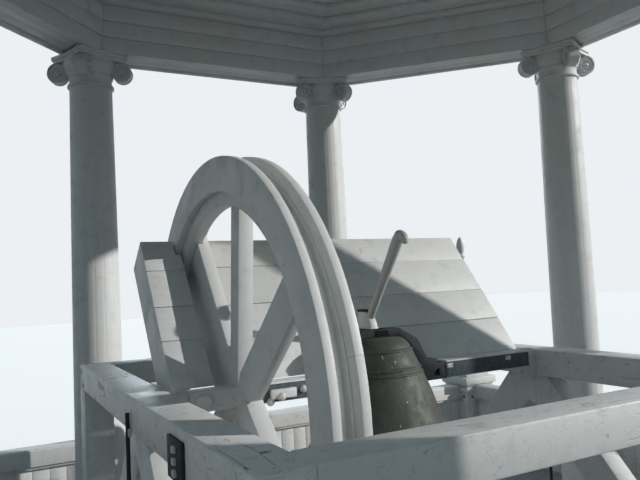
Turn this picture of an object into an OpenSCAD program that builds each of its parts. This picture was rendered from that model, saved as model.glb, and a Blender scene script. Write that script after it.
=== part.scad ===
// Open wooden belfry: a square railed deck, a ring of eight columns under a
// roof, and a timber bell frame with a wheel hung bell. Millimetres, +Z up.
// The origin is the centre of the deck's underside. The bell swings about X.

/* [Deck] */
// Side of the square deck
deck_w = 6000; // [5800:50:7000]
// Thickness of the deck
deck_t = 120; // [80:5:200]
// Height of the parapet above the deck
parapet_h = 625; // [450:5:1100]
// Thickness of the parapet's boarded wall
parapet_t = 70; // [40:5:120]
// Height of the rail on top of the parapet
rail_h = 145; // [40:5:180]
// Width of the rail on top of the parapet
rail_w = 150; // [100:5:200]
// Width of a corner pedestal's shaft
pedestal_w = 320; // [260:10:420]
// Height of a corner pedestal's shaft above the deck
pedestal_h = 625; // [560:5:1100]
// Height of a corner urn
urn_h = 1350; // [800:10:1600]
// Largest diameter of a corner urn
urn_d = 300; // [200:10:380]

/* [Columns] */
// Distance between opposite sides of the ring of column centres
ring_across = 4470; // [4300:10:4840]
// Diameter of a column at its foot
column_d = 325; // [260:5:360]
// Diameter of a column at its neck
neck_d = 285; // [220:5:320]
// Height of a column from the deck to its capital
column_h = 3140; // [2800:20:3800]
// Height of a capital
capital_h = 230; // [180:10:300]
// Diameter of a capital's scroll
scroll_d = 140; // [100:5:150]

/* [Entablature and roof] */
// Width of the beam that the capitals carry
beam_w = 290; // [240:10:340]
// Height of that beam
beam_h = 330; // [240:10:420]
// Height of the cornice
cornice_h = 190; // [120:10:260]
// Reach of the cornice beyond the beam
cornice_out = 260; // [150:10:400]
// Thickness of one step of the ceiling
ceiling_step = 30; // [20:2:50]
// Height of the roof
roof_h = 900; // [500:20:1400]

/* [Bell frame] */
// Width of the frame's heavy timbers
timber_w = 150; // [120:5:180]
// Depth of the frame's heavy timbers
timber_h = 130; // [110:5:180]
// Distance between the centres of the two long bearers
bearer_gap = 2000; // [1800:20:2200]
// Height of the bearers' top above the deck
frame_h = 1320; // [1100:20:1600]
// Distance from the axle to the middle of the front cross beam
front_y = 1100; // [1060:10:1300]
// Distance from the axle to the middle of the back cross beam
back_y = 1320; // [1100:10:1500]
// Place of the bell's axis to the right of the deck's centre
frame_x = -75; // [-150:5:150]
// Place of the bell's axis behind the deck's centre
frame_y = 25; // [-150:5:150]

/* [Bell] */
// Diameter of the bell's mouth
bell_d = 700; // [600:10:740]
// Height of the bell's flat top above the axle
bell_up = 167; // [150:1:190]
// Depth of the bell's mouth below the axle
bell_down = 350; // [300:10:420]
// Wall of the bell at its mouth
bell_wall = 38; // [25:1:45]
// Depth of the axle below the bearers' top
axle_drop = 28; // [24:1:40]
// Diameter of the iron gudgeons
gudgeon_d = 44; // [36:2:50]
// Distance from the bell's axis to a yoke's end
yoke_x = 350; // [340:2:400]
// Width of the timber headstock on each side of the yoke
head_w = 84; // [70:2:92]
// Depth of the timber headstock
head_h = 80; // [70:2:90]

/* [Wheel] */
// Diameter of the wheel
wheel_d = 1870; // [1500:10:1900]
// Thickness of the wheel
wheel_t = 126; // [90:2:150]
// Width of the wheel's rim, measured towards the hub
rim_w = 190; // [140:5:220]
// Distance from the bell's axis to the middle of the wheel
wheel_x = 690; // [610:2:720]

/* [Cover] */
// Height of the cover along its slope
cover_l = 785; // [700:5:900]
// Depth of the cover across its slope
cover_t = 200; // [140:5:240]
// Lean of the cover from upright
cover_lean = 37.5; // [34:0.5:42]
// Distance from the axle to the cover's foot
cover_y = 76; // [74:2:140]
// Thickness of the cover's boards
board_t = 25; // [18:1:32]

/* [Hidden] */
$fn = 64;
PAINT = [0.86, 0.87, 0.88];
IRON = [0.12, 0.12, 0.13];
BRONZE = [0.27, 0.28, 0.24];

// Plan
side_half = deck_w / 2;
edge_gap = 100;
corner = side_half - pedestal_w / 2 - edge_gap;
rail_line = corner;
slab_h = 75;
plinth_h = 55;
ring_r = ring_across / 2 / cos(22.5);
deck_top = deck_t;
capital_z = deck_top + column_h;
seat_gap = 0.2;
beam_z = capital_z + capital_h + seat_gap;
ceiling_z = beam_z + beam_h;
roof_z = beam_z + beam_h + cornice_h;

// Bell frame
frame_z = deck_top + frame_h;
bearer_x = bearer_gap / 2;
bearer_in = bearer_x - timber_w / 2;
bearer_l = front_y + back_y + timber_w;
bearer_y = (back_y - front_y) / 2;
axle_z = frame_z - axle_drop;
sill_top = deck_top + timber_h;
head_drop = 9;
slot_gap = 20;
flange_w = 137;
spoke_t = 64;
spoke_shift = 54;
end_gap = 6;
fit_gap = 0.3;

module octagon(across) {
    rotate(22.5) circle(d = across / cos(22.5), $fn = 8);
}

module at_corner(i) {
    sx = (i == 1 || i == 4) ? 1 : -1;
    sy = (i < 3) ? 1 : -1;
    translate([sx * corner, sy * corner, deck_top]) children();
}

module at_column(i) {
    rotate(22.5 + 45 * (i - 1)) translate([ring_r, 0, 0]) children();
}

// The bell frame stands a little off the deck's centre
module at_frame() {
    translate([frame_x, frame_y, 0]) children();
}

module deck() {
    color(PAINT) translate([-side_half, -side_half, 0]) cube([deck_w, deck_w, deck_t]);
}

// One side of the parapet between two corner pedestals, along X
module parapet_side() {
    run = 2 * corner - pedestal_w;
    color(PAINT) translate([0, rail_line, deck_top]) {
        translate([-run / 2, -parapet_t / 2, 0]) cube([run, parapet_t, parapet_h - rail_h]);
        translate([-run / 2, -rail_w / 2, parapet_h - rail_h]) cube([run, rail_w, rail_h]);
        translate([-run / 2, -parapet_t / 2 - 20, 0]) cube([run, parapet_t + 40, 120]);
    }
}

module pedestal(i) {
    color(PAINT) at_corner(i) {
        block(pedestal_w, pedestal_h);
        translate([0, 0, pedestal_h]) block(pedestal_w + 60, slab_h);
        translate([0, 0, pedestal_h + slab_h]) block(pedestal_w - 40, plinth_h);
    }
}

module block(w, h) {
    translate([-w / 2, -w / 2, 0]) cube([w, w, h]);
}

module corner_urns() {
    for (i = [1:4]) color(PAINT) at_corner(i) translate([0, 0, pedestal_h + slab_h + plinth_h]) urn();
}

// Outline of the urn as pairs of radius share and height share
module urn() {
    outline = [
        [0, 0], [0.55, 0], [0.55, 0.05], [0.30, 0.09], [0.22, 0.14], [0.34, 0.20],
        [0.78, 0.30], [0.97, 0.40], [1.00, 0.48], [0.92, 0.54], [0.60, 0.58], [0.66, 0.60],
        [0.66, 0.62], [0.40, 0.66], [0.20, 0.74], [0.16, 0.82], [0.30, 0.84], [0.30, 0.855],
        [0.20, 0.87], [0.27, 0.91], [0.25, 0.95], [0.12, 0.985], [0, 1]
    ];
    rotate_extrude() polygon([for (p = outline) [p[0] * urn_d / 2, p[1] * urn_h]]);
}

// Shaft radius at a share of its height, with a slight swelling
function shaft_r(s) = column_d / 2 - (column_d - neck_d) / 2 * pow(s, 1.7);

module column(i) {
    base_h = 190;
    foot = 60;
    color(PAINT) at_column(i) translate([0, 0, deck_top]) {
        cylinder(d = column_d + 84, h = foot);
        rotate_extrude() polygon(concat(
            [[0, foot], [column_d / 2 + 42, foot]],
            [for (a = [-60:30:60]) [column_d / 2 + 20 + 24 * cos(a), foot + 30 + 24 * sin(a)]],
            [[column_d / 2 + 12, base_h - 60], [column_d / 2 + 12, base_h - 50]],
            [for (s = [0:0.1:1]) [shaft_r(s), base_h + s * (column_h - base_h)]],
            [[0, column_h]]));
    }
}

module capitals() {
    for (i = [1:8]) color(PAINT) at_column(i) translate([0, 0, capital_z]) capital();
}

module capital() {
    reach = neck_d / 2 + scroll_d / 2 + 10;
    abacus = 40;
    hollow_r = 700;
    rotate_extrude() polygon([
        [0, 0], [neck_d / 2 + 14, 0], [neck_d / 2 + 14, 18], [neck_d / 2, 18],
        [neck_d / 2, 70], [neck_d / 2 + 12, 74], [neck_d / 2 + 12, 90],
        [neck_d / 2 + 50, 150], [neck_d / 2 + 50, capital_h - abacus], [0, capital_h - abacus]
    ]);
    for (a = [45:90:315]) rotate(a) translate([reach, 0, capital_h - abacus - scroll_d / 2])
        rotate([90, 0, 0]) scroll();
    difference() {
        translate([0, 0, capital_h - abacus]) block(neck_d + 170, abacus);
        for (a = [0:90:270]) rotate(a) translate([neck_d / 2 + 63 + hollow_r, 0, capital_h - abacus - 1])
            cylinder(r = hollow_r, h = abacus + 2);
    }
}

// One rolled end of the capital, with a raised edge and eye on each face
module scroll() {
    r = scroll_d / 2;
    rotate_extrude($fn = 48) polygon([
        [0, -50], [18, -50], [18, -38], [r - 14, -38], [r - 14, -45], [r, -45],
        [r, 45], [r - 14, 45], [r - 14, 38], [18, 38], [18, 50], [0, 50]
    ]);
}

module ring_beam() {
    color(PAINT) translate([0, 0, beam_z]) difference() {
        union() {
            for (s = [0:2]) translate([0, 0, s * beam_h / 3]) linear_extrude(beam_h / 3)
                octagon(ring_across + beam_w + 24 * s);
        }
        for (s = [0:2]) translate([0, 0, s * beam_h / 3 - 1]) linear_extrude(beam_h / 3 + 1.5)
            octagon(ring_across - beam_w - 24 * s);
    }
}

module cornice() {
    outer = ring_across + beam_w + 48;
    color(PAINT) translate([0, 0, beam_z + beam_h]) difference() {
        union() {
            for (s = [0:3]) translate([0, 0, s * cornice_h / 4]) linear_extrude(cornice_h / 4)
                octagon(outer + 2 * cornice_out * [0.12, 0.35, 0.8, 1][s]);
        }
        translate([0, 0, -1]) linear_extrude(cornice_h + 2) octagon(ring_across - beam_w - 48);
    }
}

module ceiling() {
    opening = ring_across - beam_w - 48;
    color(PAINT) translate([0, 0, ceiling_z]) difference() {
        linear_extrude(5 * ceiling_step) octagon(opening);
        for (s = [0:3]) translate([0, 0, s * ceiling_step - 1])
            linear_extrude(ceiling_step + 1) octagon(opening - 160 - 320 * s);
    }
}

module roof() {
    eave = (ring_across + beam_w + 48 + 2 * cornice_out + 60) / cos(22.5);
    sheet = 50;
    wall = 300;
    color([0.45, 0.47, 0.48]) translate([0, 0, roof_z]) rotate(22.5) difference() {
        cylinder(d1 = eave, d2 = 200, h = roof_h, $fn = 8);
        translate([0, 0, -sheet]) cylinder(d1 = eave - wall, d2 = 200 - sheet, h = roof_h, $fn = 8);
    }
}

// A beam of the frame along X or Y, centred on the origin in plan
module beam_along_y(l) {
    translate([-timber_w / 2, -l / 2, 0]) cube([timber_w, l, timber_h]);
}

module beam_along_x(l) {
    translate([-l / 2, -timber_w / 2, 0]) cube([l, timber_w, timber_h]);
}

module sills() {
    color(PAINT) for (sx = [-1, 1]) translate([sx * bearer_x, bearer_y, deck_top])
        beam_along_y(bearer_l);
}

module posts() {
    h = frame_h - 2 * timber_h;
    color(PAINT) for (sx = [-1, 1]) for (y = [-front_y, back_y])
        translate([sx * bearer_x, y, sill_top]) translate([-timber_w / 2, -timber_w / 2, 0])
            cube([timber_w, timber_w, h]);
}

// Two legs that meet near the axle, in the plane of their bearer
module braces(sx) {
    h = frame_h - 2 * timber_h;
    leg = 110;
    head = 130;
    middle = 50;
    foot_gap = 1.6;
    foot = front_y - timber_w / 2 + middle - foot_gap;
    color(PAINT) translate([sx * bearer_x + leg / 2, middle, sill_top]) rotate([0, -90, 0])
        linear_extrude(leg) polygon([
            [h, -head], [h, head], [0, foot], [0, foot - 1.5 * leg],
            [h - 1.2 * leg, 0], [0, -foot + 1.5 * leg], [0, -foot]
        ]);
}

module bearer(sx) {
    color(PAINT) translate([sx * bearer_x, bearer_y, frame_z - timber_h]) beam_along_y(bearer_l);
}

// The two top beams that tie the bearers at their ends
module cross_beams() {
    color(PAINT) for (y = [-front_y, back_y]) translate([0, y, frame_z - timber_h])
        beam_along_x(2 * bearer_in);
}

// The two bottom rails that tie the sills at their ends
module end_rails() {
    color(PAINT) for (y = [-front_y, back_y]) translate([0, y, deck_top])
        beam_along_x(2 * bearer_in);
}

// On each bearer's outer face, a bolted joint plate and an upright tie rod
module iron_straps() {
    plate_y = -588;
    plate_w = 150;
    plate_t = 12;
    nut = 26;
    rod_y = 65;
    rod_d = 22;
    face = bearer_x + timber_w / 2;
    color(IRON) for (sx = [-1, 1]) {
        translate([sx * (face + plate_t / 2), plate_y, frame_z - 22 - timber_h / 2])
            cube([plate_t, plate_w, timber_h], center = true);
        for (z = [0.25, 0.5, 0.75])
            translate([sx * (face + plate_t + 6), plate_y, frame_z - 22 - z * timber_h])
                cube([12, nut, nut], center = true);
        translate([sx * (face + rod_d / 2), rod_y, deck_top + 60]) cylinder(d = rod_d, h = frame_h - 110);
        for (z = [deck_top + 60, frame_z - 90]) translate([sx * (face + rod_d / 2), rod_y, z + 20])
            cube([rod_d, 60, 40], center = true);
    }
}

// Iron bracket on a bearer's inner face, with the bore that the gudgeon turns in
module bearing(sx) {
    out = 46;
    ring = gudgeon_d + 30;
    middle = sx * (bearer_in - out / 2);
    color(IRON) difference() {
        union() {
            translate([middle, 0, axle_z]) rotate([0, 90, 0]) cylinder(d = ring, h = out, center = true);
            translate([middle - out / 2, -ring / 2, frame_z - timber_h])
                cube([out, ring, timber_h - axle_drop]);
        }
        translate([middle, 0, axle_z]) rotate([0, 90, 0])
            cylinder(d = gudgeon_d + 1, h = out + 10, center = true);
    }
}

// One board of the cover: u runs up the slope, v runs back from the front face
module cover_board(x0, x1, u0, u1, v0, v1) {
    translate([0, cover_y, frame_z]) rotate([-cover_lean, 0, 0])
        translate([x0, v0, u0]) cube([x1 - x0, v1 - v0, u1 - u0]);
}

// Everything below the bearers' top is cut off, so that the cover stands flat
module flat_foot() {
    difference() {
        children();
        translate([-bearer_x, -500, frame_z - 600]) cube([2 * bearer_x, 2000, 600]);
    }
}

// A cleat on a bearer's inner face carries each end of the cover
module cover_cleat(sx) {
    w = bearer_in - cover_end + 50;
    translate([sx > 0 ? bearer_in - w : -bearer_in, cover_y + 20, frame_z - 70]) cube([w, 280, 70]);
}

cover_end = bearer_in - 15;
cover_low = -200;
slot_x0 = -wheel_x - wheel_t / 2 - slot_gap;
slot_x1 = -wheel_x + spoke_shift + spoke_t / 2 + slot_gap;
narrow_x0 = slot_x0 + 38;
narrow_u = wheel_d / 2 - flange_w - 158;
notch_u = 180;
lever_slot_x = 50;
lever_slot_u = 300;
lid = 130;

module cover_left() {
    color(PAINT) union() {
        flat_foot() {
            cover_board(-cover_end, narrow_x0, cover_low, narrow_u, 0, board_t);
            cover_board(-cover_end, slot_x0, narrow_u, cover_l, 0, board_t);
            cover_board(-cover_end, -cover_end + board_t, cover_low, cover_l, board_t, cover_t);
            cover_board(slot_x0 - board_t, slot_x0, cover_low, cover_l, board_t, cover_t);
            cover_board(-cover_end + board_t, slot_x0 - board_t, cover_l - board_t, cover_l, board_t, lid);
        }
        cover_cleat(-1);
    }
}

module cover_right() {
    notch_gap = 28.1;
    notch_x = bell_r(0.58) + notch_gap;
    color(PAINT) union() {
        flat_foot() difference() {
            union() {
                cover_board(slot_x1, cover_end, cover_low, cover_l, 0, board_t);
                cover_board(slot_x1, slot_x1 + board_t, cover_low, cover_l, board_t, cover_t);
                cover_board(cover_end - board_t, cover_end, cover_low, cover_l, board_t, cover_t);
                cover_board(slot_x1 + board_t, cover_end - board_t, cover_l - board_t, cover_l,
                    board_t, lid);
            }
            cover_board(-notch_x, notch_x, -300, notch_u, -10, board_t + 10);
            cover_board(-lever_slot_x, lever_slot_x, 0, lever_slot_u, -10, board_t + 10);
        }
        cover_cleat(1);
    }
}

// The rail beside the wheel runs back to the cross beam and carries the wide cover's free end
module cover_rail() {
    rail = 60;
    start = cover_y + 30;
    run = back_y - timber_w / 2 - start;
    color(PAINT) translate([slot_x1, start, frame_z - rail]) cube([rail, run, rail]);
}

// Outline of the bell as pairs of height share above the mouth and radius share
bell_h = bell_up + bell_down;
BELL = [
    [0, 1], [0.023, 1], [0.068, 0.95], [0.155, 0.875], [0.30, 0.778], [0.45, 0.703],
    [0.58, 0.634], [0.66, 0.588], [0.775, 0.528], [0.86, 0.479], [0.905, 0.450],
    [0.948, 0.406], [0.983, 0.343], [1, 0.271]
];
function bell_r(s) = bell_d / 2 * lookup(s, BELL);

module bell() {
    crown = 30;
    thin = 18;
    deep = bell_h - crown;
    inner = [
        for (k = [0:12])
            [bell_r(k / 13) - thin - (bell_wall - thin) * pow(1 - k / 13, 5), bell_h * k / 13]
    ];
    color(BRONZE) translate([0, 0, axle_z - bell_down]) rotate_extrude($fn = 96) difference() {
        polygon(concat([[0, 0]], [for (b = BELL) [bell_d / 2 * b[1], bell_h * b[0]]], [[0, bell_h]]));
        polygon(concat([[-1, -1], [inner[0][0], -1]], inner, [[bell_r(0.94) - 40, deep], [-1, deep]]));
    }
    color(BRONZE) for (s = [0.09, 0.705, 0.745, 0.895]) translate([0, 0, axle_z - bell_down + s * bell_h])
        rotate_extrude($fn = 96) translate([bell_r(s) - 1, 0]) circle(r = 5, $fn = 24);
}

// Angular iron yoke over the bell, with a pad at each end
module yoke() {
    depth = 80;
    rise = bell_up + 35;
    arch = [
        [-yoke_x, -51], [-yoke_x, 25], [-300, 25], [-300, 45], [-250, 45], [-193, rise - 53], [-100, rise],
        [100, rise], [193, rise - 53], [250, 45], [300, 45], [300, 25], [yoke_x, 25], [yoke_x, -51],
        [232, -51], [214, 20], [168, 118], [94, bell_up],
        [-94, bell_up], [-168, 118], [-214, 20], [-232, -51]
    ];
    color(IRON) {
        difference() {
            union() {
                translate([0, depth / 2, axle_z]) rotate([90, 0, 0]) linear_extrude(depth) polygon(arch);
                translate([-40, -depth / 2, axle_z + bell_up]) cube([80, 165, rise - bell_up]);
            }
            bell_room();
        }
        boss();
    }
}

// Upright curved cheek on top of the yoke that the lever is let into
module boss(gap = 0) {
    w = 36 + 2 * gap;
    z = bell_up + 30;
    translate([-w / 2, 0, axle_z]) rotate([90, 0, 90]) linear_extrude(w) polygon([
        [12 - gap, z], [20 - gap, z + 30], [33 - gap, z + 55], [52 - gap, z + 76 + gap],
        [66, z + 86 + gap], [125 + gap, z + 86 + gap], [125 + gap, z]
    ]);
}

// The space that the bell fills, with a small gap around it
module bell_room() {
    translate([0, 0, axle_z - bell_down - fit_gap]) rotate_extrude($fn = 96)
        polygon(concat([[0, 0]], [for (b = BELL) [bell_d / 2 * b[1] + 5, (bell_h + 2 * fit_gap) * b[0]]],
            [[0, bell_h + 2 * fit_gap]]));
}

// Half of the timber headstock with its iron gudgeon, sx is -1 or 1
module axle(sx) {
    inner = yoke_x;
    outer = bearer_in - 52;
    tip = bearer_in - end_gap;
    color(PAINT) {
        translate([sx > 0 ? inner : -outer, -head_w / 2, axle_z - head_drop - head_h / 2])
            cube([outer - inner, head_w, head_h]);
        translate([sx * (inner + tip) / 2, 0, axle_z]) rotate([0, 90, 0])
            cylinder(d = gudgeon_d, h = tip - inner, center = true);
        // Round headed cleat on the front, near the wheel's bearing
        if (sx < 0) translate([99 - bearer_in, -head_w / 2, axle_z - head_drop - 6]) rotate([90, 0, 0])
            cylinder(d = 70, h = 26);
    }
}

// A sole between two side flanges, which leave a groove for the rope, on a deeper inner hoop
module wheel_rim() {
    r = wheel_d / 2;
    half = wheel_t / 2;
    flange = 30;
    groove = 45;
    sole = half - flange;
    hoop = spoke_shift + spoke_t / 2;
    color(PAINT) translate([-wheel_x, 0, axle_z]) rotate([0, 90, 0]) rotate_extrude($fn = 128) polygon([
        [r - rim_w, -sole], [r - flange_w, -sole], [r - flange_w, -half], [r, -half], [r, -sole],
        [r - groove, -sole], [r - groove - 8, -12], [r - groove - 3, -5], [r - groove - 3, 5],
        [r - groove - 8, 12], [r - groove, sole], [r, sole], [r, half], [r - flange_w, half],
        [r - flange_w, hoop], [r - rim_w, hoop]
    ]);
}

// Spokes as [angle from upright, width], in one outline with sharp inner corners
SPOKES = [[-6, 84], [40, 150], [130, 150], [174, 84], [220, 150], [310, 170]];

function along(a) = [sin(a), cos(a)];
function across(a) = [cos(a), -sin(a)];

function spoke_outline(reach) = [
    for (i = [0:len(SPOKES) - 1])
        let(
            a = SPOKES[i][0],
            w = SPOKES[i][1] / 2,
            next = SPOKES[(i + 1) % len(SPOKES)],
            turn = next[0] - a,
            meet = (w * cos(turn) + next[1] / 2) / sin(turn)
        )
        each [
            along(a) * reach - across(a) * w,
            along(a) * reach + across(a) * w,
            along(a) * meet + across(a) * w
        ]
];

// Two upright spokes and four slanting ones, halved together on the headstock
module wheel_spokes() {
    r = wheel_d / 2 - rim_w;
    color(PAINT) translate([spoke_shift - wheel_x, 0, axle_z]) difference() {
        translate([-spoke_t / 2, 0, 0]) rotate([90, 0, 90])
            linear_extrude(spoke_t) polygon(spoke_outline(r + 20));
        rotate([20, 0, 0]) rotate([0, 90, 0]) difference() {
            cylinder(r = r + 200, h = 100, center = true);
            cylinder(r = r - fit_gap, h = 110, center = true, $fn = 256);
        }
        translate([-100, -head_w / 2, -head_drop - head_h / 2]) cube([200, head_w, head_h]);
    }
}

// The lever leans over the bell's front and ends in a hooked head
module lever() {
    foot_y = 44;
    foot_z = bell_up + 89;
    lean = 36.8;
    l = 446;
    color(PAINT) difference() {
        translate([0, foot_y, axle_z + foot_z]) rotate([lean, 0, 0]) {
            cylinder(d = 32, h = l);
            translate([0, 0, l]) sphere(d = 46);
            translate([0, 0, l]) rotate([75, 0, 0]) cylinder(d = 42, h = 34);
        }
        boss(fit_gap);
    }
}

module clapper() {
    ball = 110;
    drop = bell_down - 80;
    color(IRON) translate([0, 0, axle_z]) {
        translate([0, 0, -drop]) sphere(d = ball, $fn = 48);
        translate([0, 0, -drop]) cylinder(d = 34, h = drop + bell_up - 30 - 0.5);
    }
}

deck();
rotate(180) parapet_side();  // parapet_front
parapet_side();  // parapet_back
rotate(90) parapet_side();  // parapet_left
rotate(-90) parapet_side();  // parapet_right
pedestal(1);  // pedestal_1
pedestal(2);  // pedestal_2
pedestal(3);  // pedestal_3
pedestal(4);  // pedestal_4
corner_urns();
column(1);  // column_1
column(2);  // column_2
column(3);  // column_3
column(4);  // column_4
column(5);  // column_5
column(6);  // column_6
column(7);  // column_7
column(8);  // column_8
capitals();
ring_beam();
cornice();
ceiling();
roof();
at_frame() sills();
at_frame() posts();
at_frame() braces(-1);  // braces_left
at_frame() braces(1);  // braces_right
at_frame() bearer(-1);  // bearer_left
at_frame() bearer(1);  // bearer_right
at_frame() cross_beams();
at_frame() end_rails();
at_frame() iron_straps();
at_frame() bearing(-1);  // bearing_left
at_frame() bearing(1);  // bearing_right
at_frame() cover_left();
at_frame() cover_right();
at_frame() cover_rail();
at_frame() bell();
at_frame() yoke();
at_frame() axle(-1);  // axle_left
at_frame() axle(1);  // axle_right
at_frame() wheel_rim();
at_frame() wheel_spokes();
at_frame() lever();
at_frame() clapper();
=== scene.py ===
"""Looks of an open wooden belfry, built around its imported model.

The stage of a bell tower: painted columns and ceiling over a timber bell frame with a
grooved bell wheel, a bell in an iron yoke, a lever and a tilted board cover.
Lengths are in metres in the model's own frame, +Z up.
"""

import math

import bmesh
import bpy
from mathutils import Matrix, Vector


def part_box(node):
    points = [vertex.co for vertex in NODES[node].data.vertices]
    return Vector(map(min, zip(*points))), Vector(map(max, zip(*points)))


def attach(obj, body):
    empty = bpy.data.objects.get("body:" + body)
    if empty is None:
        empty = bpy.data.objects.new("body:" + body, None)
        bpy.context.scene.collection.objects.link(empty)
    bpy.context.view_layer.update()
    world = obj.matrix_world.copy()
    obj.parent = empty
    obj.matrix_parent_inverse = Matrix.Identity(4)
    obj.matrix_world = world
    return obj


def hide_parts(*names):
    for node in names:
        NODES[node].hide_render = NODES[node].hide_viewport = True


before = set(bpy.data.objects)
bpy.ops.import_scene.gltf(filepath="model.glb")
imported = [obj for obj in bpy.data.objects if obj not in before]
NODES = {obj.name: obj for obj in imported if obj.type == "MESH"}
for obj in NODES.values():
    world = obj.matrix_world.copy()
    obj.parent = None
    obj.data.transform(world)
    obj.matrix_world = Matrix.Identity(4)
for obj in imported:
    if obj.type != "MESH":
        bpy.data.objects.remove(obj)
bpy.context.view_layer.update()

# Camera, worked out from the photograph's vanishing lines
PHOTO_WIDTH = 640
FOCAL_PIXELS = 646.0
EYE = Vector((-1.6544, -2.437, 1.84))
YAW, PITCH, ROLL = (math.radians(a) for a in (28.11, 3.64, -2.77))


def place_camera():
    forward = Vector((math.sin(YAW) * math.cos(PITCH), math.cos(YAW) * math.cos(PITCH), math.sin(PITCH)))
    level = Vector((math.cos(YAW), -math.sin(YAW), 0))
    upward = level.cross(forward)
    right = level * math.cos(ROLL) + upward * math.sin(ROLL)
    up = upward * math.cos(ROLL) - level * math.sin(ROLL)
    data = bpy.data.cameras.new("camera")
    data.sensor_width = 36
    data.lens = FOCAL_PIXELS / PHOTO_WIDTH * data.sensor_width
    data.clip_start = 0.05
    camera = bpy.data.objects.new("camera", data)
    turn = Matrix((right, up, -forward)).transposed()
    camera.matrix_world = Matrix.Translation(EYE) @ turn.to_4x4()
    bpy.context.collection.objects.link(camera)
    bpy.context.scene.camera = camera


place_camera()


# Node trees, wired by short helpers
class Net:
    """A node tree under construction; its helpers return sockets."""

    def __init__(self, tree):
        self.tree = tree

    def feed(self, socket, value):
        if hasattr(value, "links"):
            self.tree.links.new(value, socket)
        elif socket.type == "RGBA":
            socket.default_value = (*value[:3], 1.0)
        else:
            socket.default_value = value

    def node(self, kind, out=0, settings=(), **feeds):
        """Adds a node; feeds are its inputs by name, with _ for a space, or by number as in i0."""
        node = self.tree.nodes.new(kind)
        for key, value in dict(settings).items():
            setattr(node, key, value)
        for key, value in feeds.items():
            number = key[1:]
            self.feed(node.inputs[int(number) if number.isdigit() else key.replace("_", " ")], value)
        return node.outputs[out]

    def maths(self, operation, a, b=0.0):
        return self.node("ShaderNodeMath", settings={"operation": operation}, i0=a, i1=b)


# Materials
class Shader(Net):
    """A material under construction."""

    def __init__(self, name):
        self.material = bpy.data.materials.new(name)
        self.material.use_nodes = True
        super().__init__(self.material.node_tree)
        self.surface = self.tree.nodes["Principled BSDF"].inputs
        self.place = self.node("ShaderNodeTexCoord", out="Object")

    def stretch(self, scale):
        return self.node("ShaderNodeMapping", Vector=self.place, Scale=scale)

    def noise(self, scale, detail, rough, source=None):
        return self.node("ShaderNodeTexNoise", out="Fac", Vector=source or self.place, Scale=scale,
                         Detail=detail, Roughness=rough)

    def joints(self, scale, width, source):
        """1 on the angular lines between cells, 0 elsewhere."""
        nearest, second = (
            self.node("ShaderNodeTexVoronoi", out="Distance", Vector=source, Scale=scale,
                      settings={"feature": feature, "distance": "MANHATTAN"}) for feature in ("F1", "F2"))
        return self.ramp(self.maths("SUBTRACT", second, nearest), 0.0, width, 1.0, 0.0)

    def ramp(self, value, low, high, start=0.0, end=1.0):
        return self.node("ShaderNodeMapRange", out="Result", settings={"interpolation_type": "SMOOTHSTEP"},
                         Value=value, From_Min=low, From_Max=high, To_Min=start, To_Max=end)

    def times(self, a, b):
        return self.maths("MULTIPLY", a, b)

    def mix(self, share, a, b):
        return self.node("ShaderNodeMix", out="Result", settings={"data_type": "RGBA"},
                         Factor=share, A=a, B=b)

    def bump(self, height, depth):
        return self.node("ShaderNodeBump", out="Normal", Distance=depth, Height=height)

    def finish(self, colour, roughness, normal=None, specular=0.5, metallic=0.0):
        values = {"Base Color": colour, "Roughness": roughness, "Specular IOR Level": specular,
                  "Metallic": metallic, "Normal": normal}
        for key, value in values.items():
            if value is not None:
                self.feed(self.surface[key], value)
        return self.material


# How much finer the pattern is along each axis; the grain runs along the axis with 1
GRAIN = {"x": (1, 9, 9), "y": (9, 1, 9), "z": (9, 9, 1), "any": (4, 4, 4)}
CELLS = {"x": (1, 2, 2), "y": (2, 1, 2), "z": (2, 2, 1), "any": (1.5, 1.5, 1.5)}
PAINT = (0.64, 0.643, 0.632)
GREY_WOOD = (0.21, 0.20, 0.18)
GRIME = (0.36, 0.355, 0.33)
SPECK = (0.20, 0.20, 0.19)
CRACK = (0.075, 0.07, 0.065)


def shaded(colour, *shares):
    """A colour with each of its three values multiplied by a share, or all by one."""
    return tuple(c * f for c, f in zip(colour, shares if len(shares) == 3 else shares * 3))


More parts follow.
